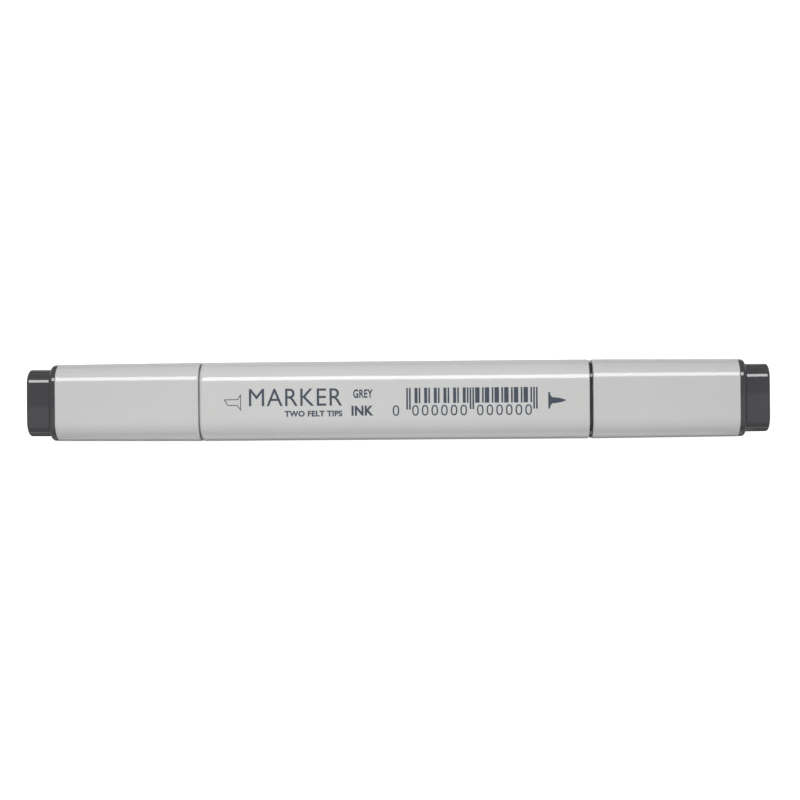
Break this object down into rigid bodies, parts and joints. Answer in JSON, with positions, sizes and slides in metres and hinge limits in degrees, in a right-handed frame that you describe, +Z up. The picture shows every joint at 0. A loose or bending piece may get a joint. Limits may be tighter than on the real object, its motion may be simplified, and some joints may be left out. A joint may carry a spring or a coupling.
{
  "type": "felt tip marker",
  "caption": "Square-bodied felt marker with a chisel nib at one end, a fine nib at the other, and a pull-off cap with a dark end plug over each nib.",
  "frame": {"origin": "on the surface that the marker lies on, under the middle of its length and width", "axes": "+X along the marker towards the fine end, +Z up through the printed flat, +Y across"},
  "size_m": [0.146, 0.0156, 0.0156],
  "materials": {
    "barrel_plastic": "moulded light grey plastic, smooth, soft gloss, printed in dark blue-grey on one flat",
    "cap_shell_plastic": "moulded light grey plastic, smooth, soft gloss",
    "end_plug_plastic": "moulded dark grey plastic, satin gloss",
    "ring_plastic": "moulded dark grey plastic, satin",
    "holder_plastic": "moulded light grey plastic, satin",
    "seal_plastic": "natural milky soft plastic",
    "nib_felt": "pressed fibre, soaked with dark grey ink",
    "reservoir_fibre": "bundled fibre, soaked with dark grey ink",
    "reservoir_film": "thin clear film"
  },
  "bodies": {
    "barrel": {"barrel": "barrel_plastic", "fine_end_ring": "ring_plastic", "broad_nib_holder": "holder_plastic", "fine_nib_holder": "holder_plastic", "broad_nib": "nib_felt", "fine_nib": "nib_felt", "ink_reservoir_core": "reservoir_fibre", "reservoir_film": "reservoir_film"},
    "broad_cap": {"broad_cap_shell": "cap_shell_plastic", "broad_cap_end_plug": "end_plug_plastic", "broad_cap_inner_seal": "seal_plastic"},
    "fine_cap": {"fine_cap_shell": "cap_shell_plastic", "fine_cap_end_plug": "end_plug_plastic", "fine_cap_inner_seal": "seal_plastic"}
  },
  "joints": [
    {"name": "broad_cap_slide", "type": "slide", "parent": "barrel", "child": "broad_cap", "axis": [-1, 0, 0], "range_m": [0, 0.04]},
    {"name": "fine_cap_slide", "type": "slide", "parent": "barrel", "child": "fine_cap", "axis": [1, 0, 0], "range_m": [0, 0.04]}
  ]
}
